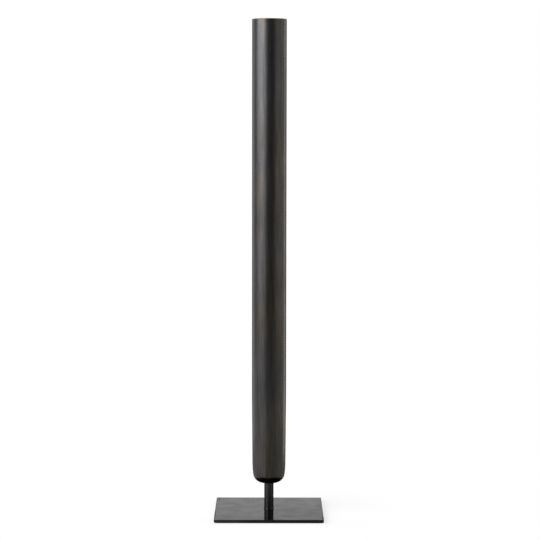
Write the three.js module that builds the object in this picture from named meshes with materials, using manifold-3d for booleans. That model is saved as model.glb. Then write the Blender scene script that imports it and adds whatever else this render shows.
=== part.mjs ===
// A slender brass vase: a tall tube with a spun, rounded heel stands on a short rod above a square plate.
// Two screws hold it together: one from below through the plate, one from inside through the tube's floor.
// Millimetres, +Z up, origin on the table under the middle of the plate.

import * as THREE from "three";
import { mergeVertices } from "three/addons/utils/BufferGeometryUtils.js";
import Module from "manifold-3d";

const wasm = await Module();
wasm.setup();

// Driving dimensions of the felt under the plate
const feltThickness = 1;
const feltInset = 3; // back from the plate's edges
const feltCornerRadius = 2;
const feltHoleMargin = 3.5; // round the head of the base screw

// Driving dimensions of the square base plate
const plateSide = 120;
const plateThickness = 3;
const plateCornerRadius = 0.8;
const plateEdgeBreak = 0.25;

// Driving dimensions of the stem, a solid rod tapped at both ends, and of the thin washer under it
const stemDiameter = 10.4;
const stemLength = 29.2;
const stemWeb = 8.2; // solid metal left between the two tapped holes
const stemEdgeBreak = 0.3;
const footWasherOverhang = 0.4;
const footWasherThickness = 0.8;
const footWasherEdgeBreak = 0.2;

// Driving dimensions of the vase tube, with heights measured from its underside
const tubeDiameter = 38.1;
const tubeLength = 514;
const tubeWall = 1;
const taperHeight = 101; // the tube has its full diameter from here up
const taperInset = 0.64; // how far the wall has drawn in where the heel starts
const heelHeight = 16.7; // the heel leans in below this
const heelInset = 2.36; // how far in the heel's sharp corner would lie
const heelRise = 1.7; // how far above the underside that corner would lie
const heelRadius = 10.7; // the round between the heel and the floor
const flatFloorRadius = 8.5; // the floor is flat out to here and then rises to the heel
const longestHeelShare = 0.95; // of the shorter side beside it, the most that the heel's round may take

// Driving dimensions of the seal and washers on the tube's floor, under the floor screw
const sealDiameter = 11.6;
const sealThickness = 1.5;
const floorWasherDiameter = 10;
const floorWasherThickness = 1;
const lockWasherDiameter = 9;
const lockWasherThickness = 1.2;
const lockWasherSlit = 1;

// Driving dimensions of the two screws
const screwDiameter = 5;
const screwTipChamfer = 0.6;
const tappingDrillPast = 1.5; // the stem's holes run on past the screw tips
const capHeadDiameter = 8.5;
const capHeadHeight = 5;
const capHeadChamfer = 0.5;
const sunkHeadLand = 0.3; // the short straight edge of the countersunk head
const sinkWeb = 0.2; // how far below the plate's top the countersunk head ends
const hexKeySize = 3; // across the flats of both sockets
const hexKeyDepth = 1.9;

// Clearances
const threadClearance = 0.15; // between a screw and its tapped hole
const holeClearance = 0.25; // between a screw and a plain hole
const sinkClearance = 0.15; // round the countersunk head
const floorRoundClearance = 0.3; // between the seal and the start of the heel's inner round
const cutOverrun = 1; // how far a cutter reaches past the faces that it opens
const leastStep = 0.001; // points of an outline nearer than this are one point

// Facets
const tubeFacets = 60;
const turnedFacets = 36;
const arcStep = THREE.MathUtils.degToRad(9.5);
const fewestArcSteps = 3;
const lipSteps = 6;

// The stack of pieces, from the table up
const plateBottom = feltThickness;
const plateTop = plateBottom + plateThickness;
const stemBottom = plateTop + footWasherThickness;
const stemTop = stemBottom + stemLength;
const tubeBottom = stemTop;
const floorTop = tubeBottom + tubeWall;
const sealTop = floorTop + sealThickness;
const floorWasherTop = sealTop + floorWasherThickness;
const lockWasherTop = floorWasherTop + lockWasherThickness;

// Radii that pieces share
const screwRadius = screwDiameter / 2;
const plainHoleRadius = screwRadius + holeClearance;
const tappedHoleRadius = screwRadius + threadClearance;
const sunkConeHeight = plateThickness - sunkHeadLand - sinkWeb;
const sunkHeadRadius = screwRadius + sunkConeHeight;
const stemRadius = stemDiameter / 2;
const tubeRadius = tubeDiameter / 2;
const sealSeatRadius = sealDiameter / 2 + floorRoundClearance;

// What each screw has inside the stem
const screwThreadLength = (stemLength - stemWeb) / 2 - tappingDrillPast;

// Finishes
const bronzedBrass = new THREE.MeshStandardMaterial({ color: 0x3b3834, roughness: 0.34, metalness: 1 });
const blackenedPlate = new THREE.MeshStandardMaterial({ color: 0x343434, roughness: 0.18, metalness: 1 });
const blackenedRod = new THREE.MeshStandardMaterial({ color: 0x2a2a2a, roughness: 0.28, metalness: 1 });
const plainBrass = new THREE.MeshStandardMaterial({ color: 0xb08d4c, roughness: 0.35, metalness: 1 });
const zincSteel = new THREE.MeshStandardMaterial({ color: 0x9a9c9e, roughness: 0.4, metalness: 1 });
const blackRubber = new THREE.MeshStandardMaterial({ color: 0x1a1a1a, roughness: 0.8, metalness: 0 });
const blackFelt = new THREE.MeshStandardMaterial({ color: 0x1d1c1b, roughness: 0.95, metalness: 0 });

// A point of a turned outline: radius from the axis and height.
const at = (radius, height) => new THREE.Vector2(radius, height);

// The same open outline a fixed distance to its left, with its corners kept sharp.
function offsetOutline(corners, distance) {
  const sides = corners.slice(1).map((end, i) => {
    const along = end.clone().sub(corners[i]).normalize();
    const left = at(-along.y, along.x).multiplyScalar(distance);
    return { start: corners[i].clone().add(left), end: end.clone().add(left), along };
  });
  const meetings = sides.slice(1).map((next, i) => {
    const side = sides[i];
    const reach = next.start.clone().sub(side.start).cross(next.along) / side.along.cross(next.along);
    return side.start.clone().addScaledVector(side.along, reach);
  });
  return [sides[0].start, ...meetings, sides.at(-1).end];
}

// The angle between the two sides that meet at a corner.
function cornerAngle(before, corner, after) {
  return before.clone().sub(corner).angleTo(after.clone().sub(corner));
}

// Points along the round of a corner whose tangents reach the given distance down both sides.
function cornerRound(before, corner, after, reach) {
  const half = cornerAngle(before, corner, after) / 2;
  const radius = reach * Math.tan(half);
  const toBefore = before.clone().sub(corner).normalize();
  const toAfter = after.clone().sub(corner).normalize();
  const bisector = toBefore.clone().add(toAfter).normalize();
  const centre = corner.clone().addScaledVector(bisector, radius / Math.sin(half));
  const first = corner.clone().addScaledVector(toBefore, reach);
  const sweep = (Math.PI - 2 * half) * Math.sign(toAfter.cross(toBefore));
  const steps = Math.max(fewestArcSteps, Math.ceil(Math.abs(sweep) / arcStep));
  return Array.from({ length: steps + 1 }, (_, i) => first.clone().rotateAround(centre, (sweep * i) / steps));
}

// A turned piece: an outline in radius and height, spun about +Z.
function turned(outline, facets = turnedFacets) {
  return new THREE.LatheGeometry(outline, facets).rotateX(Math.PI / 2);
}

// A turned ring with a rectangular section.
function ringOutline(innerRadius, outerRadius, bottom, top) {
  const start = at(innerRadius, bottom);
  return [start, at(outerRadius, bottom), at(outerRadius, top), at(innerRadius, top), start.clone()];
}

function solidFrom(geometry) {
  const bare = geometry.index ? geometry.toNonIndexed() : geometry.clone();
  bare.deleteAttribute("normal");
  bare.deleteAttribute("uv");
  const merged = mergeVertices(bare);
  const vertProperties = new Float32Array(merged.attributes.position.array);
  const triVerts = new Uint32Array(merged.index.array);
  return new wasm.Manifold(new wasm.Mesh({ numProp: 3, vertProperties, triVerts }));
}

// What is left of one geometry when another is cut out of it.
function cut(geometry, cutter) {
  const made = solidFrom(geometry).subtract(solidFrom(cutter)).getMesh();
  const result = new THREE.BufferGeometry();
  result.setAttribute("position", new THREE.BufferAttribute(made.vertProperties, 3));
  result.setIndex(new THREE.BufferAttribute(made.triVerts, 1));
  result.computeVertexNormals();
  return result;
}

function roundedSquare(side, radius) {
  const flat = side / 2 - radius;
  const shape = new THREE.Shape();
  const corners = [[flat, -flat], [flat, flat], [-flat, flat], [-flat, -flat]];
  corners.forEach(([x, y], i) => shape.absarc(x, y, radius, ((i - 1) * Math.PI) / 2, (i * Math.PI) / 2, false));
  shape.closePath();
  return shape;
}

function hexagon(acrossFlats) {
  const radius = acrossFlats / Math.sqrt(3);
  const corners = Array.from({ length: 6 }, (_, i) => at(radius, 0).rotateAround(at(0, 0), (i * Math.PI) / 3));
  return new THREE.Shape(corners);
}

// A hexagonal key hole between two heights.
function hexSocket(from, to) {
  const socket = new THREE.ExtrudeGeometry(hexagon(hexKeySize), { depth: to - from, bevelEnabled: false });
  return socket.translate(0, 0, from);
}

// Felt sheet with a round hole that leaves the base screw in reach.
function feltPad() {
  const sheet = new THREE.ExtrudeGeometry(roundedSquare(plateSide - 2 * feltInset, feltCornerRadius), {
    depth: feltThickness,
    bevelEnabled: false,
    curveSegments: fewestArcSteps,
  });
  const holeRadius = sunkHeadRadius + feltHoleMargin;
  const hole = turned([
    at(0, -cutOverrun),
    at(holeRadius, -cutOverrun),
    at(holeRadius, feltThickness + cutOverrun),
    at(0, feltThickness + cutOverrun),
  ]);
  return cut(sheet, hole);
}

// Countersunk hole through the plate, longer than the plate at both ends.
function sunkHole() {
  const wide = sunkHeadRadius + sinkClearance;
  const landTop = plateBottom + sunkHeadLand;
  const coneTop = landTop + wide - plainHoleRadius;
  return turned([
    at(0, plateBottom - cutOverrun),
    at(wide, plateBottom - cutOverrun),
    at(wide, landTop),
    at(plainHoleRadius, coneTop),
    at(plainHoleRadius, plateTop + cutOverrun),
    at(0, plateTop + cutOverrun),
  ]);
}

function basePlate() {
  const plate = new THREE.ExtrudeGeometry(roundedSquare(plateSide, plateCornerRadius), {
    depth: plateThickness - 2 * plateEdgeBreak,
    bevelThickness: plateEdgeBreak,
    bevelSize: plateEdgeBreak,
    bevelOffset: -plateEdgeBreak,
    bevelSegments: 1,
    curveSegments: fewestArcSteps,
  }).translate(0, 0, plateBottom + plateEdgeBreak);
  return cut(plate, sunkHole());
}

// Countersunk screw, flush with the underside of the plate, up into the foot of the stem.
function baseScrew() {
  const landTop = plateBottom + sunkHeadLand;
  const tip = stemBottom + screwThreadLength;
  const body = turned([
    at(0, plateBottom),
    at(sunkHeadRadius, plateBottom),
    at(sunkHeadRadius, landTop),
    at(screwRadius, landTop + sunkConeHeight),
    at(screwRadius, tip - screwTipChamfer),
    at(screwRadius - screwTipChamfer, tip),
    at(0, tip),
  ]);
  return cut(body, hexSocket(plateBottom - cutOverrun, plateBottom + hexKeyDepth));
}

// Thin washer that the rod is pulled down on; it stands a little proud of the rod.
function footWasher() {
  const outer = stemRadius + footWasherOverhang;
  const start = at(plainHoleRadius, plateTop);
  return turned([
    start,
    at(outer, plateTop),
    at(outer, stemBottom - footWasherEdgeBreak),
    at(outer - footWasherEdgeBreak, stemBottom),
    at(plainHoleRadius, stemBottom),
    start.clone(),
  ]);
}

// Rod with a blind tapped hole in each end.
function stemRod() {
  const lowerHoleEnd = stemBottom + screwThreadLength + tappingDrillPast;
  const upperHoleEnd = stemTop - screwThreadLength - tappingDrillPast;
  return turned([
    at(0, lowerHoleEnd),
    at(tappedHoleRadius, lowerHoleEnd),
    at(tappedHoleRadius, stemBottom),
    at(stemRadius - stemEdgeBreak, stemBottom),
    at(stemRadius, stemBottom + stemEdgeBreak),
    at(stemRadius, stemTop - stemEdgeBreak),
    at(stemRadius - stemEdgeBreak, stemTop),
    at(tappedHoleRadius, stemTop),
    at(tappedHoleRadius, upperHoleEnd),
    at(0, upperHoleEnd),
  ]);
}

// How far the heel's round reaches from its sharp corner.
function heelReach([, floorEdge, heel, shoulder]) {
  const wanted = heelRadius / Math.tan(cornerAngle(floorEdge, heel, shoulder) / 2);
  const shorterSide = Math.min(heel.distanceTo(floorEdge), heel.distanceTo(shoulder));
  return Math.min(wanted, longestHeelShare * shorterSide);
}

// One face of the tube's wall: flat floor kept clear for the seal, heel round, shoulder round and the long side.
function wallFace([hole, floorEdge, heel, shoulder, taperTop, rim], reach) {
  const floorReach = Math.min(heel.distanceTo(floorEdge) - reach, floorEdge.x - sealSeatRadius);
  const shoulderReach = heel.distanceTo(shoulder) - reach;
  const points = [
    hole,
    ...cornerRound(hole, floorEdge, heel, floorReach),
    ...cornerRound(floorEdge, heel, shoulder, reach),
    ...cornerRound(heel, shoulder, taperTop, shoulderReach),
    taperTop,
    rim,
  ];
  return points.filter((point, i) => i === 0 || point.distanceTo(points[i - 1]) > leastStep);
}

// Tube with its lower end spun in to a rounded heel and a flat floor, and a full round on its lip.
function vaseTube() {
  const floorEdgeRadius = Math.max(flatFloorRadius, sealSeatRadius + tubeWall);
  const outside = [
    at(plainHoleRadius, tubeBottom),
    at(floorEdgeRadius, tubeBottom),
    at(tubeRadius - heelInset, tubeBottom + heelRise),
    at(tubeRadius - taperInset, tubeBottom + heelHeight),
    at(tubeRadius, tubeBottom + taperHeight),
    at(tubeRadius, tubeBottom + tubeLength - tubeWall / 2),
  ];
  const inside = offsetOutline(outside, tubeWall);
  const reach = heelReach(outside);
  const heelTurn = cornerAngle(outside[1], outside[2], outside[3]);
  const insideReach = reach - tubeWall / Math.tan(heelTurn / 2);
  const lipCentre = outside.at(-1).clone().add(inside.at(-1)).divideScalar(2);
  const lip = Array.from({ length: lipSteps - 1 }, (_, i) =>
    outside.at(-1).clone().rotateAround(lipCentre, ((i + 1) * Math.PI) / lipSteps),
  );
  const outline = [...wallFace(outside, reach), ...lip, ...wallFace(inside, insideReach).reverse()];
  return turned([...outline, outline[0].clone()], tubeFacets);
}

function floorSeal() {
  return turned(ringOutline(tappedHoleRadius, sealDiameter / 2, floorTop, sealTop));
}

function floorWasher() {
  return turned(ringOutline(plainHoleRadius, floorWasherDiameter / 2, sealTop, floorWasherTop));
}

// Spring washer, a ring that is slit on one side.
function lockWasher() {
  const outer = lockWasherDiameter / 2;
  const ring = turned(ringOutline(plainHoleRadius, outer, floorWasherTop, lockWasherTop));
  const slitHeight = lockWasherThickness + 2 * cutOverrun;
  const slit = new THREE.BoxGeometry(lockWasherDiameter, lockWasherSlit, slitHeight);
  slit.translate(outer, 0, floorWasherTop + lockWasherThickness / 2);
  return cut(ring, slit);
}

// Cap screw from inside the tube, down through the floor into the head of the stem.
function floorScrew() {
  const headTop = lockWasherTop + capHeadHeight;
  const headRadius = capHeadDiameter / 2;
  const tip = stemTop - screwThreadLength;
  const body = turned([
    at(0, tip),
    at(screwRadius - screwTipChamfer, tip),
    at(screwRadius, tip + screwTipChamfer),
    at(screwRadius, lockWasherTop),
    at(headRadius, lockWasherTop),
    at(headRadius, headTop - capHeadChamfer),
    at(headRadius - capHeadChamfer, headTop),
    at(0, headTop),
  ]);
  return cut(body, hexSocket(headTop - hexKeyDepth, headTop + cutOverrun));
}

const vase = new THREE.Group();

function addPiece(name, geometry, material) {
  const mesh = new THREE.Mesh(geometry, material);
  mesh.name = name;
  vase.add(mesh);
}

addPiece("felt_pad", feltPad(), blackFelt);
addPiece("base_plate", basePlate(), blackenedPlate);
addPiece("base_screw", baseScrew(), zincSteel);
addPiece("foot_washer", footWasher(), blackenedRod);
addPiece("stem_rod", stemRod(), blackenedRod);
addPiece("vase_tube", vaseTube(), bronzedBrass);
addPiece("floor_seal", floorSeal(), blackRubber);
addPiece("floor_washer", floorWasher(), plainBrass);
addPiece("lock_washer", lockWasher(), zincSteel);
addPiece("floor_screw", floorScrew(), zincSteel);

export default vase;
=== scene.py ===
import math
import bpy
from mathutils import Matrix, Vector


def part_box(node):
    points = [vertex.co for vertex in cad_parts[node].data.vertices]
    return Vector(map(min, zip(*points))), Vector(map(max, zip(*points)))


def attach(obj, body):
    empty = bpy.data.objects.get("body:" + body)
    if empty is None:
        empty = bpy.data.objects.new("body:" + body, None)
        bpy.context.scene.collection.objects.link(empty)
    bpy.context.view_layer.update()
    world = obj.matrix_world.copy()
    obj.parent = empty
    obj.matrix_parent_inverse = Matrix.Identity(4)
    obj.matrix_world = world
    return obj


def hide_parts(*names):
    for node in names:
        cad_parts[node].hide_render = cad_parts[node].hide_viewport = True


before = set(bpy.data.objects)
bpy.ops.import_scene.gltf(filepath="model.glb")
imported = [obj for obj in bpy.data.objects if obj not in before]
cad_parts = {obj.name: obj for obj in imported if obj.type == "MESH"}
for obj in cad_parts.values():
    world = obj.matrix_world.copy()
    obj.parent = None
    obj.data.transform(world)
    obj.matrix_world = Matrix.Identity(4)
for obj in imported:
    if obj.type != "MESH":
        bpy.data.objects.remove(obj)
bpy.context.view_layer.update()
scene = bpy.context.scene
scene.view_settings.view_transform = "Standard"
mm = 0.001
weld = 0.004 * mm   # points nearer than this are one point
print("frame loaded:", len(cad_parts), "nodes")


def clearSelection():
    if bpy.context.object and bpy.context.object.mode != "OBJECT":
        bpy.ops.object.mode_set(mode="OBJECT")
    bpy.ops.object.select_all(action="DESELECT")


def pickPiece(piece):
    clearSelection()
    piece.select_set(True)
    bpy.context.view_layer.objects.active = piece


def applyModifier(piece, kind, **settings):
    pickPiece(piece)
    bpy.ops.object.modifier_add(type=kind)
    modifier = piece.modifiers[-1]
    for key, value in settings.items():
        setattr(modifier, key, value)
    bpy.ops.object.modifier_apply(modifier=modifier.name)


def smoothPiece(piece, angle):
    # edges sharper than the angle, in degrees, stay crisp
    pickPiece(piece)
    bpy.ops.object.shade_smooth_by_angle(angle=math.radians(angle))
    # large faces keep their own direction, so long walls and flat plates stay true beside small roundings
    applyModifier(piece, "WEIGHTED_NORMAL", mode="FACE_AREA", weight=90, keep_sharp=True)


def turnPiece(name, section, steps):
    # the section is drawn point by point on the XZ plane and spun round the vase's axis
    clearSelection()
    first = section[0]
    bpy.ops.mesh.primitive_plane_add(size=mm, location=(first[0], 0, first[1]))
    piece = bpy.context.object
    piece.name = name
    piece.data.name = name
    bpy.ops.object.transform_apply(location=True, rotation=True, scale=True)
    bpy.ops.object.mode_set(mode="EDIT")
    bpy.ops.mesh.select_mode(type="VERT")
    bpy.ops.mesh.select_all(action="SELECT")
    bpy.ops.mesh.merge(type="CENTER")
    for here, there in zip(section, section[1:] + section[:1]):
        step = (there[0] - here[0], 0, there[1] - here[1])
        bpy.ops.mesh.extrude_region_move(TRANSFORM_OT_translate={"value": step})
    bpy.ops.mesh.select_all(action="SELECT")
    bpy.ops.mesh.remove_doubles(threshold=weld)
    bpy.ops.mesh.spin(steps=steps, angle=math.tau, center=(0, 0, 0), axis=(0, 0, 1))
    bpy.ops.mesh.select_all(action="SELECT")
    bpy.ops.mesh.remove_doubles(threshold=weld)
    bpy.ops.mesh.normals_make_consistent(inside=False)
    bpy.ops.object.mode_set(mode="OBJECT")
    return piece


def startBlock(name, low, high):
    # a cube at its size and place, with the place in the mesh
    clearSelection()
    centre = [(a + b) / 2 for a, b in zip(low, high)]
    span = [b - a for a, b in zip(low, high)]
    bpy.ops.mesh.primitive_cube_add(size=1, location=centre, scale=span)
    piece = bpy.context.object
    piece.name = name
    piece.data.name = name
    bpy.ops.object.transform_apply(location=True, rotation=True, scale=True)
    return piece


def pickEdges(piece, test):
    # leaves the piece in edit mode with only the edges that pass the test selected
    pickPiece(piece)
    bpy.ops.object.mode_set(mode="EDIT")
    bpy.ops.mesh.select_mode(type="EDGE")
    bpy.ops.mesh.select_all(action="DESELECT")
    bpy.ops.object.mode_set(mode="OBJECT")
    points = [v.co.copy() for v in piece.data.vertices]
    for edge in piece.data.edges:
        edge.select = test(points[edge.vertices[0]], points[edge.vertices[1]])
    bpy.ops.object.mode_set(mode="EDIT")


def roundBlock(piece, spec):
    # the four upright edges first, then all the edges round the top and the bottom
    pickEdges(piece, lambda a, b: abs(a.z - b.z) > weld)
    bpy.ops.mesh.bevel(offset=spec["cornerRadius"], segments=spec["cornerSteps"], affect="EDGES")
    pickEdges(piece, lambda a, b: abs(a.z - b.z) < weld)
    bpy.ops.mesh.bevel(offset=spec["edgeRound"], segments=spec["edgeSteps"], affect="EDGES")


def carve(piece, cutter):
    applyModifier(piece, "BOOLEAN", operation="DIFFERENCE", solver="EXACT", object=cutter)
    clearSelection()
    cutter.select_set(True)
    bpy.ops.object.delete()


def unit(a, b):
    span = math.hypot(b[0] - a[0], b[1] - a[1])
    return (b[0] - a[0]) / span, (b[1] - a[1]) / span


def cornerHalf(before, corner, after):
    # half the angle between the two sides of a corner
    a = unit(corner, before)
    b = unit(corner, after)
    return math.acos(max(-1, min(1, a[0] * b[0] + a[1] * b[1]))) / 2


def roundCorner(before, corner, after, reach, steps):
    # arc that leaves both sides of a corner at the same reach from it
    a = unit(corner, before)
    b = unit(corner, after)
    half = cornerHalf(before, corner, after)
    radius = reach * math.tan(half)
    toCentre = unit((0, 0), (a[0] + b[0], a[1] + b[1]))
    centre = [corner[i] + toCentre[i] * radius / math.sin(half) for i in (0, 1)]
    start = math.atan2(corner[1] + a[1] * reach - centre[1], corner[0] + a[0] * reach - centre[0])
    end = math.atan2(corner[1] + b[1] * reach - centre[1], corner[0] + b[0] * reach - centre[0])
    turn = (end - start + math.pi) % math.tau - math.pi
    angles = [start + turn * i / steps for i in range(steps + 1)]
    return [(centre[0] + radius * math.cos(t), centre[1] + radius * math.sin(t)) for t in angles]


def innerCorner(before, corner, after, wall):
    # where the same corner falls on the wall's other face
    a = unit(corner, before)
    b = unit(corner, after)
    half = cornerHalf(before, corner, after)
    way = unit((0, 0), (a[0] + b[0], a[1] + b[1]))
    return tuple(corner[i] + way[i] * wall / math.sin(half) for i in (0, 1))


def seatPiece(piece, material, node):
    piece.data.materials.clear()
    piece.data.materials.append(material)
    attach(piece, "root")
    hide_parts(node)
    print(piece.name, "stands for", node, "with", len(piece.data.polygons), "faces")


def toLinear(code):
    # sRGB hex to the linear colour that a socket takes
    parts = [int(code[i:i + 2], 16) / 255 for i in (1, 3, 5)]
    return [p / 12.92 if p <= 0.04045 else ((p + 0.055) / 1.055) ** 2.4 for p in parts] + [1]


def addNode(tree, kind, settings=None, links=None):
    # settings go to sockets by name or number, or else to the node itself
    node = tree.nodes.new(kind)
    for key, value in (settings or {}).items():
        if isinstance(key, int) or key in node.inputs:
            node.inputs[key].default_value = value
        else:
            setattr(node, key, value)
    for key, source in (links or {}).items():
        tree.links.new(source, node.inputs[key])
    return node


def startMaterial(name):
    material = bpy.data.materials.new(name)
    material.use_nodes = True
    tree = material.node_tree
    shader = tree.nodes["Principled BSDF"]
    place = addNode(tree, "ShaderNodeTexCoord").outputs["Object"]
    return material, tree, shader, place


def perUnit(sizes):
    # texture scale along each axis for a pattern of these sizes in metres
    return [1 / size for size in sizes]


noiseLow = 0.3      # nearly all values of a noise lie between these two
noiseHigh = 0.7
cloudLow = 0.35     # and most of them between these
cloudHigh = 0.65

# brass darkened in a bath, rubbed along its length and waxed: near black with brown in it, satin,
# soft lengthwise streaks, cloudy patches and a few dark specks
bronzedBrass = {
    "cool": "#343435",
    "warm": "#39352f",
    "hueLow": 0.4,
    "hueHigh": 0.6,
    "streakHue": 0.45,          # share of the streaks in what is brown and what is grey
    "warmFull": 260 * mm,       # the brown shows fully below this height and less towards the rim
    "warmEnd": 520 * mm,
    "warmLeast": 0.5,
    "lip": "#4a3923",           # the rim is worn to brown
    "lipHeight": 1.2 * mm,
    "edgeTint": "#dfdfdf",
    "rubbed": 0.4,              # reflections spread round the tube more than along it
    "streak": (1.7 * mm, 1.7 * mm, 36 * mm),
    "streakDark": 0.78,
    "streakLight": 1.2,
    "streakBump": 0.06,
    "patch": (16 * mm, 16 * mm, 45 * mm),
    "patchDark": 0.86,
    "patchLight": 1.14,
    "speck": "#171514",
    "speckDepth": 0.65,
    "speckCell": 9 * mm,
    "speckRadius": 0.08,        # in cells, as is the core, where a speck is darkest
    "speckCore": 0.048,
    "speckSkip": 0.8,           # this share of the cells has no speck
    "spots": [(-30, 539 * mm), (-48, 445 * mm), (36, 53 * mm)],   # bearing and height as in the photo
    "spotRadius": 0.8 * mm,
    "spotCore": 0.4 * mm,
    "roughLow": 0.25,
    "roughHigh": 0.3,
}


def makeBronzedBrass(spec):
    material, tree, shader, place = startMaterial("bronzedBrass")
    streakMap = addNode(tree, "ShaderNodeMapping", {"Scale": perUnit(spec["streak"])}, {"Vector": place})
    streak = addNode(tree, "ShaderNodeTexNoise", {"Scale": 1, "Detail": 3, "Roughness": 0.55},
                     {"Vector": streakMap.outputs[0]})
    patchMap = addNode(tree, "ShaderNodeMapping", {"Scale": perUnit(spec["patch"])}, {"Vector": place})
    patch = addNode(tree, "ShaderNodeTexNoise", {"Scale": 1, "Detail": 4, "Roughness": 0.6},
                    {"Vector": patchMap.outputs[0]})
    # brown against grey follows the patches and, more finely, streaks of its own
    streakHues = addNode(tree, "ShaderNodeSeparateColor", {}, {0: streak.outputs["Color"]})
    patchHues = addNode(tree, "ShaderNodeSeparateColor", {}, {0: patch.outputs["Color"]})
    hue = addNode(tree, "ShaderNodeMix", {0: spec["streakHue"]},
                  {2: patchHues.outputs[1], 3: streakHues.outputs[1]})
    huePart = addNode(tree, "ShaderNodeMapRange", {1: spec["hueLow"], 2: spec["hueHigh"]},
                      {0: hue.outputs[0]})
    height = addNode(tree, "ShaderNodeSeparateXYZ", {}, {0: place}).outputs[2]
    lowPart = addNode(tree, "ShaderNodeMapRange",
                      {1: spec["warmFull"], 2: spec["warmEnd"], 3: 1, 4: spec["warmLeast"]}, {0: height})
    warmPart = addNode(tree, "ShaderNodeMath", {"operation": "MULTIPLY"},
                       {0: huePart.outputs[0], 1: lowPart.outputs[0]})
    tint = addNode(tree, "ShaderNodeMix",
                   {"data_type": "RGBA", 6: toLinear(spec["cool"]), 7: toLinear(spec["warm"])},
                   {0: warmPart.outputs[0]})
    streakShade = addNode(tree, "ShaderNodeMapRange",
                          {1: noiseLow, 2: noiseHigh, 3: spec["streakDark"], 4: spec["streakLight"]},
                          {0: streak.outputs[0]})
    patchShade = addNode(tree, "ShaderNodeMapRange",
                         {1: noiseLow, 2: noiseHigh, 3: spec["patchDark"], 4: spec["patchLight"]},
                         {0: patchHues.outputs[2]})
    shade = addNode(tree, "ShaderNodeMath", {"operation": "MULTIPLY"},
                    {0: streakShade.outputs[0], 1: patchShade.outputs[0]})
    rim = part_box("vase_tube")[1][2]
    lipPart = addNode(tree, "ShaderNodeMapRange",
                      {1: rim - spec["lipHeight"], 2: rim - spec["lipHeight"] / 2}, {0: height})
    worn = addNode(tree, "ShaderNodeMix", {"data_type": "RGBA", 7: toLinear(spec["lip"])},
                   {0: lipPart.outputs[0], 6: tint.outputs[2]})
    shaded = addNode(tree, "ShaderNodeMix", {"data_type": "RGBA", "blend_type": "MULTIPLY", 0: 1},
                     {6: worn.outputs[2], 7: shade.outputs[0]})
    specks = addNode(tree, "ShaderNodeTexVoronoi", {"Scale": 1 / spec["speckCell"]}, {"Vector": place})
    speckPart = addNode(tree, "ShaderNodeMapRange", {1: spec["speckRadius"], 2: spec["speckCore"]},
                        {0: specks.outputs["Distance"]})
    chance = addNode(tree, "ShaderNodeSeparateColor", {}, {0: specks.outputs["Color"]})
    few = addNode(tree, "ShaderNodeMath", {"operation": "GREATER_THAN", 1: spec["speckSkip"]},
                  {0: chance.outputs[0]})
    dark = addNode(tree, "ShaderNodeMath", {"operation": "MULTIPLY"},
                   {0: speckPart.outputs[0], 1: few.outputs[0]})
    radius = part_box("vase_tube")[1][0]
    for bearing, rise in spec["spots"]:
        turn = math.radians(bearing)
        spot = (radius * math.sin(turn), -radius * math.cos(turn), rise)
        away = addNode(tree, "ShaderNodeVectorMath", {"operation": "DISTANCE", 1: spot}, {0: place})
        near = addNode(tree, "ShaderNodeMapRange", {1: spec["spotRadius"], 2: spec["spotCore"]},
                       {0: away.outputs["Value"]})
        dark = addNode(tree, "ShaderNodeMath", {"operation": "MAXIMUM"},
                       {0: dark.outputs[0], 1: near.outputs[0]})
    darkPart = addNode(tree, "ShaderNodeMath", {"operation": "MULTIPLY", 1: spec["speckDepth"]},
                       {0: dark.outputs[0]})
    colour = addNode(tree, "ShaderNodeMix", {"data_type": "RGBA", 7: toLinear(spec["speck"])},
                     {0: darkPart.outputs[0], 6: shaded.outputs[2]})
    rough = addNode(tree, "ShaderNodeMapRange",
                    {1: noiseLow, 2: noiseHigh, 3: spec["roughLow"], 4: spec["roughHigh"]},
                    {0: patch.outputs[0]})
    bump = addNode(tree, "ShaderNodeBump", {"Strength": spec["streakBump"], "Distance": 0.4 * mm},
                   {"Height": streak.outputs[0]})
    shader.inputs["Metallic"].default_value = 1
    shader.inputs["Specular Tint"].default_value = toLinear(spec["edgeTint"])
    shader.inputs["Anisotropic"].default_value = spec["rubbed"]
    tree.links.new(colour.outputs[2], shader.inputs["Base Color"])
    tree.links.new(rough.outputs[0], shader.inputs["Roughness"])
    tree.links.new(bump.outputs[0], shader.inputs["Normal"])
    return material


# the same bath inside the tube, where nothing was rubbed or waxed: dull brown oxide with runs of old water
oxideBrass = {
    "dark": "#29241f",
    "light": "#544a3d",
    "darkEnd": 0.38,
    "lightStart": 0.62,
    "runs": (5 * mm, 5 * mm, 40 * mm),
    "bloom": 3 * mm,
    "bloomShare": 0.5,
    "bloomBump": 0.15,
    "metal": 0.55,
    "roughDark": 0.7,
    "roughLight": 0.45,
}


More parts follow.
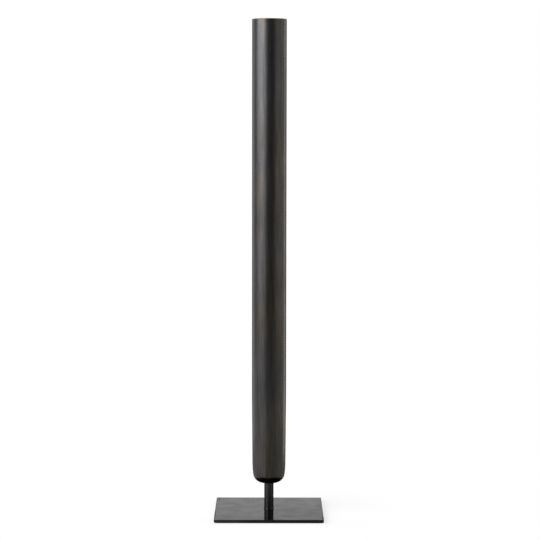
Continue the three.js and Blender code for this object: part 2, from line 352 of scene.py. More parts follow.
def makeOxideBrass(spec):
    material, tree, shader, place = startMaterial("oxideBrass")
    runMap = addNode(tree, "ShaderNodeMapping", {"Scale": perUnit(spec["runs"])}, {"Vector": place})
    runs = addNode(tree, "ShaderNodeTexNoise", {"Scale": 1, "Detail": 3}, {"Vector": runMap.outputs[0]})
    bloom = addNode(tree, "ShaderNodeTexNoise", {"Scale": 1 / spec["bloom"], "Detail": 5, "Roughness": 0.7},
                    {"Vector": place})
    both = addNode(tree, "ShaderNodeMix", {0: spec["bloomShare"]}, {2: runs.outputs[0], 3: bloom.outputs[0]})
    part = addNode(tree, "ShaderNodeMapRange", {1: spec["darkEnd"], 2: spec["lightStart"]},
                   {0: both.outputs[0]})
    colour = addNode(tree, "ShaderNodeMix",
                     {"data_type": "RGBA", 6: toLinear(spec["dark"]), 7: toLinear(spec["light"])},
                     {0: part.outputs[0]})
    rough = addNode(tree, "ShaderNodeMapRange", {3: spec["roughDark"], 4: spec["roughLight"]},
                    {0: part.outputs[0]})
    bump = addNode(tree, "ShaderNodeBump", {"Strength": spec["bloomBump"], "Distance": 0.1 * mm},
                   {"Height": bloom.outputs[0]})
    shader.inputs["Metallic"].default_value = spec["metal"]
    tree.links.new(colour.outputs[2], shader.inputs["Base Color"])
    tree.links.new(rough.outputs[0], shader.inputs["Roughness"])
    tree.links.new(bump.outputs[0], shader.inputs["Normal"])
    return material


def squareReach(tree, place):
    # distance from the axis along X, the same along Y, and the larger of the two
    flat = addNode(tree, "ShaderNodeVectorMath", {"operation": "ABSOLUTE"}, {0: place})
    apart = addNode(tree, "ShaderNodeSeparateXYZ", {}, {0: flat.outputs[0]})
    outward = addNode(tree, "ShaderNodeMath", {"operation": "MAXIMUM"},
                      {0: apart.outputs[0], 1: apart.outputs[1]})
    return apart.outputs[0], apart.outputs[1], outward.outputs[0]


# sheet steel plated black and wiped clean: neutral, mirror-like at a low angle, faint smears and haze
blackPlate = {
    "dark": "#151515",
    "light": "#232323",
    "darkEnd": 0.14,
    "lightStart": 0.36,
    "smear": (18 * mm, 15 * mm, 18 * mm),
    "dust": 1.6 * mm,
    "dustBump": 0.05,
    "waveDepth": 0.02 * mm,     # the sheet is not quite flat
    "metalLow": 0.6,            # where a film of wax lies on the plating
    "paintedShadeSlope": (0.6, -1.0, 0),     # painted shade: the plate is made darker towards the right and the front
    "scuffs": [                 # dull marks as in the photo: middle, half size in mm, roughness
        ((-57, 49), (0.8, 14), 0.4),
        ((-55.9, -48), (2.2, 4.5), 0.25),
        ((57, 13), (5, 16), 0.2),
        ((59.3, -50), (1, 10), 0.6),
        ((-59.4, -34), (0.9, 22), 0.5),
    ],
    "scuffCore": 0.6,           # share of the half size where the mark is full
    "roughLow": 0.05,
    "roughHigh": 0.1,
    "edgeRough": 0.5,           # dull along the sheared edges
    "edgeWidth": 1.3 * mm,
    "edgeTint": "#d2d2d2",
}


def makeBlackPlate(spec):
    material, tree, shader, place = startMaterial("blackPlatedSheet")
    smearMap = addNode(tree, "ShaderNodeMapping", {"Scale": perUnit(spec["smear"])}, {"Vector": place})
    smear = addNode(tree, "ShaderNodeTexNoise", {"Scale": 1, "Detail": 4, "Roughness": 0.6},
                    {"Vector": smearMap.outputs[0]})
    dust = addNode(tree, "ShaderNodeTexNoise", {"Scale": 1 / spec["dust"], "Detail": 2}, {"Vector": place})
    both = addNode(tree, "ShaderNodeMath", {"operation": "MULTIPLY"},
                   {0: smear.outputs[0], 1: dust.outputs[0]})
    part = addNode(tree, "ShaderNodeMapRange", {1: spec["darkEnd"], 2: spec["lightStart"]},
                   {0: both.outputs[0]})
    colour = addNode(tree, "ShaderNodeMix",
                     {"data_type": "RGBA", 6: toLinear(spec["dark"]), 7: toLinear(spec["light"])},
                     {0: part.outputs[0]})
    haze = addNode(tree, "ShaderNodeMapRange",
                   {1: noiseLow, 2: noiseHigh, 3: spec["roughLow"], 4: spec["roughHigh"]},
                   {0: smear.outputs[0]})
    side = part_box("base_plate")[1][0]
    outward = squareReach(tree, place)[2]
    edge = addNode(tree, "ShaderNodeMapRange", {1: side - spec["edgeWidth"], 2: side}, {0: outward})
    rough = addNode(tree, "ShaderNodeMix", {3: spec["edgeRough"]}, {0: edge.outputs[0], 2: haze.outputs[0]})
    for middle, half, dull in spec["scuffs"]:
        scale = perUnit([size * mm for size in half])
        shift = [-middle[i] * mm * scale[i] for i in (0, 1)]
        oval = addNode(tree, "ShaderNodeMapping", {"Location": (*shift, 0), "Scale": (*scale, 0)},
                       {"Vector": place})
        away = addNode(tree, "ShaderNodeVectorMath", {"operation": "LENGTH"}, {0: oval.outputs[0]})
        mark = addNode(tree, "ShaderNodeMapRange", {1: 1, 2: spec["scuffCore"]}, {0: away.outputs["Value"]})
        rough = addNode(tree, "ShaderNodeMix", {3: dull}, {0: mark.outputs[0], 2: rough.outputs[0]})
    waves = addNode(tree, "ShaderNodeBump", {"Strength": 1, "Distance": spec["waveDepth"]},
                    {"Height": smear.outputs[0]})
    bump = addNode(tree, "ShaderNodeBump", {"Strength": spec["dustBump"], "Distance": 0.1 * mm},
                   {"Height": dust.outputs[0], "Normal": waves.outputs[0]})
    film = addNode(tree, "ShaderNodeMapRange", {1: noiseLow, 2: noiseHigh, 3: spec["metalLow"], 4: 1},
                   {0: smear.outputs[0]})
    # painted shade: Metallic rises towards the right and the front, which darkens the plate there; the random
    # wax film comes on top
    slope = addNode(tree, "ShaderNodeVectorMath", {"operation": "DOT_PRODUCT", 1: spec["paintedShadeSlope"]}, {0: place})
    filmAndPaintedShade = addNode(tree, "ShaderNodeMath", {"operation": "ADD", "use_clamp": True},
                   {0: film.outputs[0], 1: slope.outputs["Value"]})
    shader.inputs["Specular Tint"].default_value = toLinear(spec["edgeTint"])
    tree.links.new(filmAndPaintedShade.outputs[0], shader.inputs["Metallic"])
    tree.links.new(colour.outputs[2], shader.inputs["Base Color"])
    tree.links.new(rough.outputs[0], shader.inputs["Roughness"])
    tree.links.new(bump.outputs[0], shader.inputs["Normal"])
    return material


# round bar turned smooth and plated black: neutral, semi-gloss, fine rings from the lathe
blackRod = {
    "dark": "#2b2b2b",
    "light": "#303030",
    "smear": 9 * mm,
    "rings": (30 * mm, 30 * mm, 1.4 * mm),
    "ringBump": 0.04,
    "turned": 0.2,              # the rings spread reflections along the bar
    "turnedWay": 0.25,
    "roughLow": 0.3,
    "roughHigh": 0.36,
    "edgeTint": "#909090",
}

# the same plating on the thin washer, buffed so that its edge glints
buffedWasher = dict(blackRod, dark="#303030", light="#383838", roughLow=0.1, roughHigh=0.14)


def makeBlackRod(name, spec):
    material, tree, shader, place = startMaterial(name)
    ringMap = addNode(tree, "ShaderNodeMapping", {"Scale": perUnit(spec["rings"])}, {"Vector": place})
    rings = addNode(tree, "ShaderNodeTexNoise", {"Scale": 1, "Detail": 2}, {"Vector": ringMap.outputs[0]})
    smear = addNode(tree, "ShaderNodeTexNoise", {"Scale": 1 / spec["smear"], "Detail": 3}, {"Vector": place})
    colour = addNode(tree, "ShaderNodeMix",
                     {"data_type": "RGBA", 6: toLinear(spec["dark"]), 7: toLinear(spec["light"])},
                     {0: smear.outputs[0]})
    rough = addNode(tree, "ShaderNodeMapRange",
                    {1: noiseLow, 2: noiseHigh, 3: spec["roughLow"], 4: spec["roughHigh"]},
                    {0: smear.outputs[0]})
    bump = addNode(tree, "ShaderNodeBump", {"Strength": spec["ringBump"], "Distance": 0.1 * mm},
                   {"Height": rings.outputs[0]})
    shader.inputs["Metallic"].default_value = 1
    shader.inputs["Anisotropic"].default_value = spec["turned"]
    shader.inputs["Anisotropic Rotation"].default_value = spec["turnedWay"]
    shader.inputs["Specular Tint"].default_value = toLinear(spec["edgeTint"])
    tree.links.new(colour.outputs[2], shader.inputs["Base Color"])
    tree.links.new(rough.outputs[0], shader.inputs["Roughness"])
    tree.links.new(bump.outputs[0], shader.inputs["Normal"])
    return material


# screw steel with bright zinc and stamped brass: pale or yellow metal with cloudy patches, duller where dark
brightMetals = {
    "zincSteel": {"dark": "#8c8f92", "light": "#b4b6b8", "cloud": 1.8 * mm, "roughDark": 0.42,
                  "roughLight": 0.26},
    "plainBrass": {"dark": "#9c7a3f", "light": "#c29d58", "cloud": 2.4 * mm, "roughDark": 0.38,
                   "roughLight": 0.24},
}


def makeBrightMetal(name, spec):
    material, tree, shader, place = startMaterial(name)
    cloud = addNode(tree, "ShaderNodeTexNoise", {"Scale": 1 / spec["cloud"], "Detail": 5, "Roughness": 0.65},
                    {"Vector": place})
    part = addNode(tree, "ShaderNodeMapRange", {1: cloudLow, 2: cloudHigh}, {0: cloud.outputs[0]})
    colour = addNode(tree, "ShaderNodeMix",
                     {"data_type": "RGBA", 6: toLinear(spec["dark"]), 7: toLinear(spec["light"])},
                     {0: part.outputs[0]})
    rough = addNode(tree, "ShaderNodeMapRange",
                    {1: noiseLow, 2: noiseHigh, 3: spec["roughDark"], 4: spec["roughLight"]},
                    {0: cloud.outputs[0]})
    bump = addNode(tree, "ShaderNodeBump", {"Strength": 0.08, "Distance": 0.05 * mm},
                   {"Height": cloud.outputs[0]})
    shader.inputs["Metallic"].default_value = 1
    tree.links.new(colour.outputs[2], shader.inputs["Base Color"])
    tree.links.new(rough.outputs[0], shader.inputs["Roughness"])
    tree.links.new(bump.outputs[0], shader.inputs["Normal"])
    return material


# moulded black rubber and pressed wool felt: dark, dull, one with a fine skin and one with tangled fibres
softBlacks = {
    "blackRubber": {"dark": "#161616", "light": "#232323", "grain": 0.6 * mm, "rough": 0.72, "bump": 0.1,
                    "sheen": 0},
    "blackFelt": {"dark": "#191817", "light": "#2b2927", "grain": 0.5 * mm, "rough": 0.95, "bump": 0.5,
                  "sheen": 0.25},
}


def makeSoftBlack(name, spec):
    material, tree, shader, place = startMaterial(name)
    grain = addNode(tree, "ShaderNodeTexNoise",
                    {"Scale": 1 / spec["grain"], "Detail": 4, "Roughness": 0.7, "Distortion": 1.5},
                    {"Vector": place})
    part = addNode(tree, "ShaderNodeMapRange", {1: cloudLow, 2: cloudHigh}, {0: grain.outputs[0]})
    colour = addNode(tree, "ShaderNodeMix",
                     {"data_type": "RGBA", 6: toLinear(spec["dark"]), 7: toLinear(spec["light"])},
                     {0: part.outputs[0]})
    bump = addNode(tree, "ShaderNodeBump", {"Strength": spec["bump"], "Distance": 0.3 * mm},
                   {"Height": grain.outputs[0]})
    shader.inputs["Roughness"].default_value = spec["rough"]
    shader.inputs["Sheen Weight"].default_value = spec["sheen"]
    tree.links.new(colour.outputs[2], shader.inputs["Base Color"])
    tree.links.new(bump.outputs[0], shader.inputs["Normal"])
    return material


tubeFinish = makeBronzedBrass(bronzedBrass)
insideFinish = makeOxideBrass(oxideBrass)
plateFinish = makeBlackPlate(blackPlate)
rodFinish = makeBlackRod("blackPlatedBar", blackRod)
washerFinish = makeBlackRod("blackPlatedWasher", buffedWasher)
zincFinish = makeBrightMetal("zincSteel", brightMetals["zincSteel"])
brassFinish = makeBrightMetal("plainBrass", brightMetals["plainBrass"])
rubberFinish = makeSoftBlack("blackRubber", softBlacks["blackRubber"])
feltFinish = makeSoftBlack("blackFelt", softBlacks["blackFelt"])
print("materials made")


# the tube: straight above, a slight taper in its lower part, a shoulder, a round heel and a flat floor
tube = {
    "wall": 1.0 * mm,
    "taperHeight": 101 * mm,    # above the floor's underside
    "shoulderHeight": 16.7 * mm,
    "shoulderInset": 0.64 * mm,
    "heelInset": 2.36 * mm,
    "heelRise": 1.7 * mm,
    "heelRadius": 10.7 * mm,
    "flatFloor": 8.5 * mm,      # the floor is flat out to this radius
    "floorHole": 2.75 * mm,
    "facesUp": 0.5,             # low faces that point up more than this are the floor's inside
    "floorSteps": 6,
    "arcSteps": 14,
    "lipSteps": 10,
    "steps": 160,
    "crisp": 40,
}


def wallFace(corners, heelReach, spec):
    # one face of the wall: the rounds at the floor's edge and at the shoulder take what the heel leaves them
    floorReach = math.dist(corners[1], corners[2]) - heelReach
    shoulderReach = math.dist(corners[2], corners[3]) - heelReach
    points = [corners[0]]
    points += roundCorner(*corners[0:3], floorReach, spec["floorSteps"])
    points += roundCorner(*corners[1:4], heelReach, spec["arcSteps"])[1:]
    points += roundCorner(*corners[2:5], shoulderReach, spec["arcSteps"])[1:]
    return points + corners[4:]


def makeTube(spec):
    low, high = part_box("vase_tube")
    wall, outer, lip = spec["wall"], high[0], spec["wall"] / 2
    corners = [
        (spec["floorHole"], low[2]),
        (spec["flatFloor"], low[2]),
        (outer - spec["heelInset"], low[2] + spec["heelRise"]),
        (outer - spec["shoulderInset"], low[2] + spec["shoulderHeight"]),
        (outer, low[2] + spec["taperHeight"]),
        (outer, high[2] - lip),
    ]
    inner = [innerCorner(*corners[i:i + 3], wall) for i in range(4)]
    mouth = (outer - wall, high[2] - lip)
    heelHalf = cornerHalf(*corners[1:4])
    heelReach = spec["heelRadius"] / math.tan(heelHalf)
    outside = wallFace(corners, heelReach, spec)
    innerCorners = [(spec["floorHole"], low[2] + wall), *inner, mouth]
    inside = wallFace(innerCorners, heelReach - wall / math.tan(heelHalf), spec)
    turn = [math.pi * i / spec["lipSteps"] for i in range(1, spec["lipSteps"])]
    crest = [(outer - lip + lip * math.cos(t), high[2] - lip + lip * math.sin(t)) for t in turn]
    section = outside + crest + inside[::-1]
    piece = turnPiece("vaseTube", section, spec["steps"])
    smoothPiece(piece, spec["crisp"])
    seatPiece(piece, tubeFinish, "vase_tube")
    piece.data.materials.append(insideFinish)
    for face in piece.data.polygons:
        middle = face.center
        towardsAxis = face.normal.x * middle.x + face.normal.y * middle.y < 0
        onFloor = face.normal.z > spec["facesUp"] and middle.z < low[2] + spec["shoulderHeight"]
        belowLip = middle.z < high[2] - lip
        pastHole = middle.xy.length > spec["floorHole"] + weld
        if (towardsAxis or onFloor) and belowLip and pastHole:
            face.material_index = 1


makeTube(tube)

# the rod under the tube, with a tapped hole in each end
stem = {"endBreak": 0.3 * mm, "holeRadius": 2.65 * mm, "holeDepth": 10.5 * mm, "steps": 96, "crisp": 35}


def makeStem(spec):
    low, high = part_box("stem_rod")
    outer, cut, hole, deep = high[0], spec["endBreak"], spec["holeRadius"], spec["holeDepth"]
    piece = turnPiece("stemRod", [
        (hole, low[2]),
        (outer - cut, low[2]),
        (outer, low[2] + cut),
        (outer, high[2] - cut),
        (outer - cut, high[2]),
        (hole, high[2]),
        (hole, high[2] - deep),
        (0, high[2] - deep),
        (0, low[2] + deep),
        (hole, low[2] + deep),
    ], spec["steps"])
    smoothPiece(piece, spec["crisp"])
    seatPiece(piece, rodFinish, "stem_rod")


makeStem(stem)

# flat rings: the thin collar on the plate, the rubber seal and the brass washer
rings = {
    "footWasher": {"node": "foot_washer", "hole": 2.75 * mm, "edge": 0.3 * mm, "slot": "blackened_rod",
                   "material": washerFinish},
    "floorSeal": {"node": "floor_seal", "hole": 2.65 * mm, "edge": 0.3 * mm, "slot": "rubber",
                  "material": rubberFinish},
    "floorWasher": {"node": "floor_washer", "hole": 2.75 * mm, "edge": 0.12 * mm, "slot": "plain_brass",
                    "material": brassFinish},
}
ringShape = {"nick": 0.3, "edgeSteps": 4, "steps": 96, "crisp": 35}   # nick as a share of the edge's round


def makeRing(name, spec, shape):
    low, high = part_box(spec["node"])
    outer, edge, hole = high[0], spec["edge"], spec["hole"]
    nick = edge * shape["nick"]
    section = [(hole, low[2]), (outer - nick, low[2]), (outer, low[2] + nick)]
    section += roundCorner((outer, low[2]), (outer, high[2]), (hole, high[2]), edge, shape["edgeSteps"])
    section += [(hole + nick, high[2]), (hole, high[2] - nick)]
    piece = turnPiece(name, section, shape["steps"])
    smoothPiece(piece, shape["crisp"])
    seatPiece(piece, spec["material"], spec["node"])


for name, spec in rings.items():
    makeRing(name, spec, ringShape)

# the square plate, with a sunk hole from below
plate = {
    "cornerRadius": 0.8 * mm,
    "cornerSteps": 5,
    "edgeRound": 0.25 * mm,
    "edgeSteps": 2,
    "holeRadius": 2.75 * mm,
    "sinkRadius": 5.15 * mm,
    "sinkLand": 0.3 * mm,
    "holeSteps": 64,
    "crisp": 30,
}


def makePlate(spec):
    low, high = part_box("base_plate")
    piece = startBlock("basePlate", low, high)
    roundBlock(piece, spec)
    hole, wide = spec["holeRadius"], spec["sinkRadius"]
    sink = low[2] + spec["sinkLand"]
    cutter = turnPiece("sinkCutter", [
        (0, low[2] - mm),
        (wide, low[2] - mm),
        (wide, sink),
        (hole, sink + wide - hole),
        (hole, high[2] + mm),
        (0, high[2] + mm),
    ], spec["holeSteps"])
    carve(piece, cutter)
    smoothPiece(piece, spec["crisp"])
    seatPiece(piece, plateFinish, "base_plate")


makePlate(plate)

# felt under the plate, with room for the screw
felt = {
    "cornerRadius": 2 * mm,
    "cornerSteps": 5,
    "edgeRound": 0.3 * mm,
    "edgeSteps": 3,
    "holeRadius": 8.5 * mm,
    "holeSteps": 64,
    "crisp": 35,
}


def makeFelt(spec):
    low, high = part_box("felt_pad")
    piece = startBlock("feltPad", low, high)
    roundBlock(piece, spec)
    cutter = turnPiece("feltCutter", [
        (0, low[2] - mm),
        (spec["holeRadius"], low[2] - mm),
        (spec["holeRadius"], high[2] + mm),
        (0, high[2] + mm),
    ], spec["holeSteps"])
    carve(piece, cutter)
    smoothPiece(piece, spec["crisp"])
    seatPiece(piece, feltFinish, "felt_pad")


makeFelt(felt)

# what the two screws share: a six-sided socket, and a thread drawn as rings at its pitch;
# with 66 steps the socket's corners fall between the head's spokes
screw = {
    "shank": 2.5 * mm,
    "tipBreak": 0.6 * mm,
    "socketAcross": 3 * mm,
    "socketDeep": 1.9 * mm,
    "pitch": 0.8 * mm,
    "threadDeep": 0.42 * mm,
    "crestFlat": 0.12,          # of the pitch
    "steps": 66,
    "crisp": 30,
}

# countersunk screw from below and cap screw inside the tube; a stretch of shank stays plain under each head
baseScrew = dict(screw, land=0.3 * mm, plain=1 * mm)
floorScrew = dict(screw, head=5 * mm, headBreak=0.5 * mm, plain=3 * mm)


def threadRings(spec, start, end):
    # crests and roots from one height to another, with the crests cut flat
    way = 1 if end > start else -1
    count = int(abs(end - start) / spec["pitch"])
    crest, root, pitch = spec["shank"], spec["shank"] - spec["threadDeep"], spec["pitch"] * way
    flat = spec["crestFlat"]
    points = []
    for i in range(count):
        here = start + i * pitch
        points += [(crest, here), (crest, here + pitch * flat), (root, here + pitch * (1 + flat) / 2)]
    return points + [(crest, start + count * pitch)]


def carveSocket(piece, spec, face, inward):
    # the cutter is a six-sided prism that stands a little out of the head
    clearSelection()
    reach = spec["socketAcross"] / math.sqrt(3)
    deep, proud = spec["socketDeep"], mm
    centre = face + inward * (deep - proud) / 2
    bpy.ops.mesh.primitive_cylinder_add(vertices=6, radius=reach, depth=deep + proud, location=(0, 0, centre))
    cutter = bpy.context.object
    bpy.ops.object.transform_apply(location=True, rotation=True, scale=True)
    carve(piece, cutter)


def makeBaseScrew(spec):
    low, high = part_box("base_screw")
    outer, shank, tip = high[0], spec["shank"], spec["tipBreak"]
    neck = low[2] + spec["land"] + outer - shank
    piece = turnPiece("baseScrew", [
        (0, low[2]),
        (outer, low[2]),
        (outer, low[2] + spec["land"]),
        (shank, neck),
        *threadRings(spec, high[2] - tip, neck + spec["plain"])[::-1],
        (shank - tip, high[2]),
        (0, high[2]),
    ], spec["steps"])
    carveSocket(piece, spec, low[2], 1)
    smoothPiece(piece, spec["crisp"])
    seatPiece(piece, zincFinish, "base_screw")


def makeFloorScrew(spec):
    low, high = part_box("floor_screw")
    outer, shank, tip, cut = high[0], spec["shank"], spec["tipBreak"], spec["headBreak"]
    seat = high[2] - spec["head"]
    piece = turnPiece("floorScrew", [
        (0, low[2]),
        (shank - tip, low[2]),
        *threadRings(spec, low[2] + tip, seat - spec["plain"]),
        (shank, seat),
        (outer, seat),
        (outer, high[2] - cut),
        (outer - cut, high[2]),
        (0, high[2]),
    ], spec["steps"])
    carveSocket(piece, spec, high[2], -1)
    smoothPiece(piece, spec["crisp"])
    seatPiece(piece, zincFinish, "floor_screw")


makeBaseScrew(baseScrew)
makeFloorScrew(floorScrew)

# spring washer, square in section, slit on the right
spring = {"hole": 2.75 * mm, "slit": 1 * mm, "edge": 0.1 * mm, "steps": 72, "crisp": 30}


def makeSpring(spec):
    low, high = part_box("lock_washer")
    outer, hole, edge = high[0], spec["hole"], spec["edge"]
    piece = turnPiece("lockWasher", [
        (hole, low[2] + edge),
        (hole + edge, low[2]),
        (outer - edge, low[2]),
        (outer, low[2] + edge),
        (outer, high[2] - edge),
        (outer - edge, high[2]),
        (hole + edge, high[2]),
        (hole, high[2] - edge),
    ], spec["steps"])
    half = spec["slit"] / 2
    cutter = startBlock("slitCutter", (mm, -half, low[2] - mm), (outer + mm, half, high[2] + mm))
    carve(piece, cutter)
    smoothPiece(piece, spec["crisp"])
    seatPiece(piece, zincFinish, "lock_washer")


makeSpring(spring)
print("pieces made")


# no cards stand in the scene: the world's light, and the paper as the metal sees it, are made darker in these
# bands, which draws a line along the edges of the metal; on the paper this is painted shade. The spans are in
# degrees to the right of straight behind
paintedCards = {"spans": [(-36, -9), (9, 52)], "soft": 6, "level": 0.1}


def cardShade(tree, way, spec):
    # 1 beside the painted cards and their level on them, for a direction or a place on the floor
    split = addNode(tree, "ShaderNodeSeparateXYZ", {}, {0: way})
    angle = addNode(tree, "ShaderNodeMath", {"operation": "ARCTAN2"},
                    {0: split.outputs[0], 1: split.outputs[1]})
    soft, level = math.radians(spec["soft"]), spec["level"]
    shade = None
    for span in spec["spans"]:
        start, end = math.radians(span[0]), math.radians(span[1])
        enter = addNode(tree, "ShaderNodeMapRange",
                        {"interpolation_type": "SMOOTHSTEP", 1: start, 2: start + soft, 3: 1, 4: level},
                        {0: angle.outputs[0]})
        leave = addNode(tree, "ShaderNodeMapRange",
                        {"interpolation_type": "SMOOTHSTEP", 1: end - soft, 2: end, 3: level, 4: 1},
                        {0: angle.outputs[0]})
        card = addNode(tree, "ShaderNodeMath", {"operation": "MAXIMUM"},
                       {0: enter.outputs[0], 1: leave.outputs[0]})
        if shade:
            card = addNode(tree, "ShaderNodeMath", {"operation": "MULTIPLY"},
                           {0: shade.outputs[0], 1: card.outputs[0]})
        shade = card
    return shade.outputs[0]


def shownRays(tree, path):
    # 1 for rays that show the studio as white: from the camera, in a reflection or through glass
    seen = addNode(tree, "ShaderNodeMath", {"operation": "MAXIMUM"},
                   {0: path.outputs["Is Camera Ray"], 1: path.outputs["Is Glossy Ray"]})
    shown = addNode(tree, "ShaderNodeMath", {"operation": "MAXIMUM"},
                    {0: seen.outputs[0], 1: path.outputs["Is Transmission Ray"]})
    return shown.outputs[0]


# pale floor that shows the object's shadow near it and fades to the white of the studio further out;
# what the metal sees of it carries painted shade: dimmer close to the vase, on the camera's side and in the
# painted cards' bands
floor = {
    "low": (-1.8, -1.9),
    "high": (1.8, 1.6),
    "below": 0.05 * mm,         # a hair under the felt, so that the two faces don't share a plane
    "colours": ("#f0f0f0", "#f4f4f4"),
    "fibre": 3 * mm,
    "fade": (0.065, 0.19),
    "fadeLeast": 0.72,
    "gapAhead": (3 * mm, 1.6 * mm),   # in from the plate's edges, where the paper goes from dark to white
    "gapAside": (0.8 * mm, 0),
    "cutIn": 1 * mm,            # in from the felt's edges, where the paper is cut out
    # painted shade on the paper in reflections: where, and how much, it is dimmed near the vase and on the
    # camera's side
    "close": (0.06, 0.3),
    "closeDim": 0.65,
    "near": (-0.2, 0),
    "nearDim": 0.8,
    "far": (-1.3, -0.5),
    "farDim": 0.45,
}


def makeFloor(spec):
    clearSelection()
    low, high = spec["low"], spec["high"]
    centre = [(a + b) / 2 for a, b in zip(low, high)]
    span = [b - a for a, b in zip(low, high)]
    bpy.ops.mesh.primitive_plane_add(size=1, location=(*centre, -spec["below"]))
    bpy.ops.transform.resize(value=(*span, 1))
    bpy.ops.object.transform_apply(location=True, rotation=True, scale=True)
    piece = bpy.context.object
    piece.name = "studioFloor"
    material, tree, shader, place = startMaterial("palePaperFloor")
    tree.nodes.remove(shader)
    path = addNode(tree, "ShaderNodeLightPath")
    away = addNode(tree, "ShaderNodeVectorMath", {"operation": "LENGTH"}, {0: place}).outputs["Value"]
    start, end = spec["fade"]
    fade = addNode(tree, "ShaderNodeMapRange",
                   {"interpolation_type": "SMOOTHSTEP", 1: start, 2: end, 3: spec["fadeLeast"]}, {0: away})
    # none of the white reaches the paper under the plate
    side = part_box("base_plate")[1][0]
    aside, ahead, outward = squareReach(tree, place)
    start, end = spec["gapAhead"]
    clearAhead = addNode(tree, "ShaderNodeMapRange", {1: side - start, 2: side - end}, {0: ahead})
    start, end = spec["gapAside"]
    clearAside = addNode(tree, "ShaderNodeMapRange", {1: side - start, 2: side - end}, {0: aside})
    clearOf = addNode(tree, "ShaderNodeMath", {"operation": "MAXIMUM"},
                      {0: clearAhead.outputs[0], 1: clearAside.outputs[0]})
    bright = addNode(tree, "ShaderNodeMath", {"operation": "MULTIPLY"},
                     {0: fade.outputs[0], 1: clearOf.outputs[0]})
    part = addNode(tree, "ShaderNodeMath", {"operation": "MULTIPLY"},
                   {0: shownRays(tree, path), 1: bright.outputs[0]})
    fibre = addNode(tree, "ShaderNodeTexNoise", {"Scale": 1 / spec["fibre"], "Detail": 3}, {"Vector": place})
    dark, light = spec["colours"]
    paper = addNode(tree, "ShaderNodeMix", {"data_type": "RGBA", 6: toLinear(dark), 7: toLinear(light)},
                    {0: fibre.outputs[0]})
    matt = addNode(tree, "ShaderNodeBsdfDiffuse", {}, {"Color": paper.outputs[2]})
    # painted shade on the paper as the metal sees it: near the vase, just in front of it, far out on the
    # camera's side and in the painted cards' bands
    depth = addNode(tree, "ShaderNodeSeparateXYZ", {}, {0: place}).outputs[1]
    start, end = spec["near"]
    near = addNode(tree, "ShaderNodeMapRange", {1: start, 2: end, 3: spec["nearDim"]}, {0: depth})
    start, end = spec["far"]
    far = addNode(tree, "ShaderNodeMapRange",
                  {"interpolation_type": "SMOOTHSTEP", 1: start, 2: end, 3: spec["farDim"]}, {0: depth})
    start, end = spec["close"]
    dim = addNode(tree, "ShaderNodeMapRange", {1: start, 2: end, 3: spec["closeDim"]}, {0: away})
    for share in (near.outputs[0], far.outputs[0], cardShade(tree, place, paintedCards)):
        dim = addNode(tree, "ShaderNodeMath", {"operation": "MULTIPLY"}, {0: dim.outputs[0], 1: share})
    level = addNode(tree, "ShaderNodeMix", {3: 1}, {0: path.outputs["Is Camera Ray"], 2: dim.outputs[0]})
    white = addNode(tree, "ShaderNodeEmission", {"Color": (1, 1, 1, 1)}, {"Strength": level.outputs[0]})
    inMetal = addNode(tree, "ShaderNodeMath", {"operation": "MAXIMUM"},
                      {0: part.outputs[0], 1: path.outputs["Is Glossy Ray"]})
    mix = addNode(tree, "ShaderNodeMixShader", {},
                  {0: inMetal.outputs[0], 1: matt.outputs[0], 2: white.outputs[0]})
    # the paper has no underside and is cut out under the felt, so the vase can be looked at from below
    clear = addNode(tree, "ShaderNodeBsdfTransparent")
    under = addNode(tree, "ShaderNodeNewGeometry").outputs["Backfacing"]
    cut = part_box("felt_pad")[1][0] - spec["cutIn"]
    covered = addNode(tree, "ShaderNodeMath", {"operation": "LESS_THAN", 1: cut}, {0: outward})
    gone = addNode(tree, "ShaderNodeMath", {"operation": "MAXIMUM"}, {0: under, 1: covered.outputs[0]})
    sided = addNode(tree, "ShaderNodeMixShader", {},
                    {0: gone.outputs[0], 1: mix.outputs[0], 2: clear.outputs[0]})
    tree.links.new(sided.outputs[0], tree.nodes["Material Output"].inputs["Surface"])
    piece.data.materials.append(material)


makeFloor(floor)

# white studio all round, dimmer on the side where the camera stands, which the metal shows as its dark band;
# what falls on dull surfaces is kept low so that the softboxes model the form
studio = {
    "ambient": 0.3,
    "white": 1.0,
    "frontDim": 0.32,
    "front": (50, 26),          # degrees from the camera's side where the dimming starts and is full
}


def makeWorld(spec):
    world = bpy.data.worlds.new("whiteStudio")
    scene.world = world
    world.use_nodes = True
    tree = world.node_tree
    tree.nodes.clear()
    path = addNode(tree, "ShaderNodeLightPath")
    way = addNode(tree, "ShaderNodeTexCoord").outputs["Generated"]
    front = addNode(tree, "ShaderNodeVectorMath", {"operation": "DOT_PRODUCT", 1: (0, -1, 0)}, {0: way})
    start, full = [math.cos(math.radians(angle)) for angle in spec["front"]]
    facing = addNode(tree, "ShaderNodeMapRange",
                     {"interpolation_type": "SMOOTHSTEP", 1: start, 2: full, 3: spec["white"],
                      4: spec["frontDim"]}, {0: front.outputs["Value"]})
    dim = addNode(tree, "ShaderNodeMath", {"operation": "MULTIPLY"},
                  {0: facing.outputs[0], 1: cardShade(tree, way, paintedCards)})
    level = addNode(tree, "ShaderNodeMix", {3: 1}, {0: path.outputs["Is Camera Ray"], 2: dim.outputs[0]})
    dull = addNode(tree, "ShaderNodeBackground", {"Color": (1, 1, 1, 1), "Strength": spec["ambient"]})
    white = addNode(tree, "ShaderNodeBackground", {"Color": (1, 1, 1, 1)}, {"Strength": level.outputs[0]})
    mix = addNode(tree, "ShaderNodeMixShader", {},
                  {0: shownRays(tree, path), 1: dull.outputs[0], 2: white.outputs[0]})
    addNode(tree, "ShaderNodeOutputWorld", {}, {"Surface": mix.outputs[0]})


makeWorld(studio)


def addLamp(name, wide, tall, spec):
    data = bpy.data.lights.new(name, "AREA")
    data.shape = "RECTANGLE"
    data.size = wide
    data.size_y = tall
    data.color = toLinear(spec["colour"])[:3]
    data.energy = spec["radiance"] * math.pi * wide * tall
    lamp = bpy.data.objects.new(name, data)
    lamp.visible_camera = False
    scene.collection.objects.link(lamp)
    return lamp


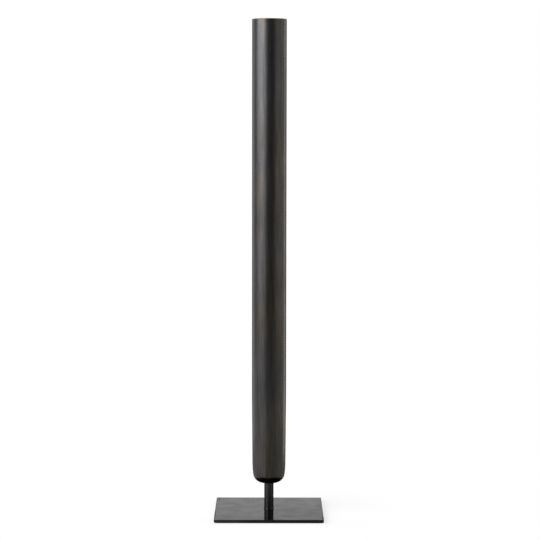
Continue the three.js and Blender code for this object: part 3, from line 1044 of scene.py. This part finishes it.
# softboxes, placed by their bearing in degrees from the camera's side of the vase to the right:
# the strong one at the front left, brightest in its middle and upper part, and weak panels at the sides
softboxes = {
    "keySoftbox": {"bearing": -54, "distance": 1.5, "width": 2.9, "low": 0.0, "high": 1.4, "radiance": 11.5,
                   "colour": "#f6f8ff", "sides": (-0.03, 0.42, 0.57, 0.95), "riseEnd": 0.55,
                   "risePower": 1.6, "riseLeast": 0.17},
    "rightPanel": {"bearing": 80, "distance": 1.2, "width": 2.0, "low": 0.02, "high": 1.4, "radiance": 0.55,
                   "colour": "#fff5ea"},
    "leftPanel": {"bearing": -128, "distance": 0.42, "width": 0.21, "low": 0.002, "high": 0.9,
                  "radiance": 1.6, "colour": "#f0f2ff"},
    "rimPanel": {"bearing": 126.5, "distance": 0.33, "width": 0.112, "low": 0.002, "high": 0.8,
                 "radiance": 2.7, "colour": "#fff8f0"},
}


def fadeLamp(data, spec):
    # light fades to the left and right and towards the floor, as through a diffuser
    data.use_nodes = True
    tree = data.node_tree
    across = addNode(tree, "ShaderNodeNewGeometry").outputs["Parametric"]
    split = addNode(tree, "ShaderNodeSeparateXYZ", {}, {0: across})
    sides = spec["sides"]
    left = addNode(tree, "ShaderNodeMapRange",
                   {"interpolation_type": "SMOOTHSTEP", 1: sides[0], 2: sides[1]}, {0: split.outputs[0]})
    right = addNode(tree, "ShaderNodeMapRange",
                    {"interpolation_type": "SMOOTHSTEP", 1: sides[2], 2: sides[3], 3: 1, 4: 0},
                    {0: split.outputs[0]})
    part = addNode(tree, "ShaderNodeMapRange", {2: spec["riseEnd"]}, {0: split.outputs[1]})
    curve = addNode(tree, "ShaderNodeMath", {"operation": "POWER", 1: spec["risePower"]},
                    {0: part.outputs[0]})
    rise = addNode(tree, "ShaderNodeMapRange", {3: spec["riseLeast"]}, {0: curve.outputs[0]})
    both = addNode(tree, "ShaderNodeMath", {"operation": "MULTIPLY"},
                   {0: left.outputs[0], 1: right.outputs[0]})
    level = addNode(tree, "ShaderNodeMath", {"operation": "MULTIPLY"},
                    {0: both.outputs[0], 1: rise.outputs[0]})
    tree.links.new(level.outputs[0], tree.nodes["Emission"].inputs["Strength"])


def makeSoftbox(name, spec):
    turn = math.radians(spec["bearing"])
    middle = (spec["low"] + spec["high"]) / 2
    aside, ahead = math.sin(turn) * spec["distance"], -math.cos(turn) * spec["distance"]
    lamp = addLamp(name, spec["width"], spec["high"] - spec["low"], spec)
    lamp.location = (aside, ahead, middle)
    lamp.rotation_euler = Vector((-aside, -ahead, 0)).to_track_quat("-Z", "Y").to_euler()
    if "sides" in spec:
        fadeLamp(lamp.data, spec)


for name, spec in softboxes.items():
    makeSoftbox(name, spec)

# light that the paper throws back on both sides, each to one side of a line through the vase's axis;
# the line's bearing is measured like a softbox's
floorGlow = {
    "leftGlow": {"line": -22, "side": -1, "ahead": 1.5, "behind": 0.05, "width": 1.5, "radiance": 0.85,
                 "colour": "#f4f6ff"},
    "rightGlow": {"line": 52, "side": 1, "ahead": 1.6, "behind": 0.05, "width": 1.5, "radiance": 0.28,
                  "colour": "#fff2e2"},
}
glowHeight = 0.5 * mm


def makeGlow(name, spec):
    turn = math.radians(spec["line"])
    along = Vector((math.sin(turn), -math.cos(turn), 0))
    aside = Vector((-along.y, along.x, 0)) * spec["side"]
    lamp = addLamp(name, spec["ahead"] + spec["behind"], spec["width"], spec)
    middle = along * (spec["ahead"] - spec["behind"]) / 2 + aside * spec["width"] / 2
    lamp.location = (middle.x, middle.y, glowHeight)
    lamp.rotation_euler = (math.pi, 0, math.atan2(along.y, along.x))


for name, spec in floorGlow.items():
    makeGlow(name, spec)

# the photograph's viewing angle, from lines of the plate, the tube and the rim
camera = {
    "lens": 121.275,
    "sensor": 36,
    "distance": 2.01023,
    "height": 0.43351,
    "side": 0.71 * mm,
    "pitch": 4.5945,
    "lean": 0.074,
    "clip": (0.05, 60),
}


def makeCamera(spec):
    data = bpy.data.cameras.new("photoCamera")
    data.lens = spec["lens"]
    data.sensor_width = spec["sensor"]
    data.clip_start, data.clip_end = spec["clip"]
    piece = bpy.data.objects.new("photoCamera", data)
    piece.location = (spec["side"], -spec["distance"], spec["height"])
    piece.rotation_euler = (math.radians(90 - spec["pitch"]), math.radians(-spec["lean"]), 0)
    scene.collection.objects.link(piece)
    scene.camera = piece


makeCamera(camera)
print("studio made")
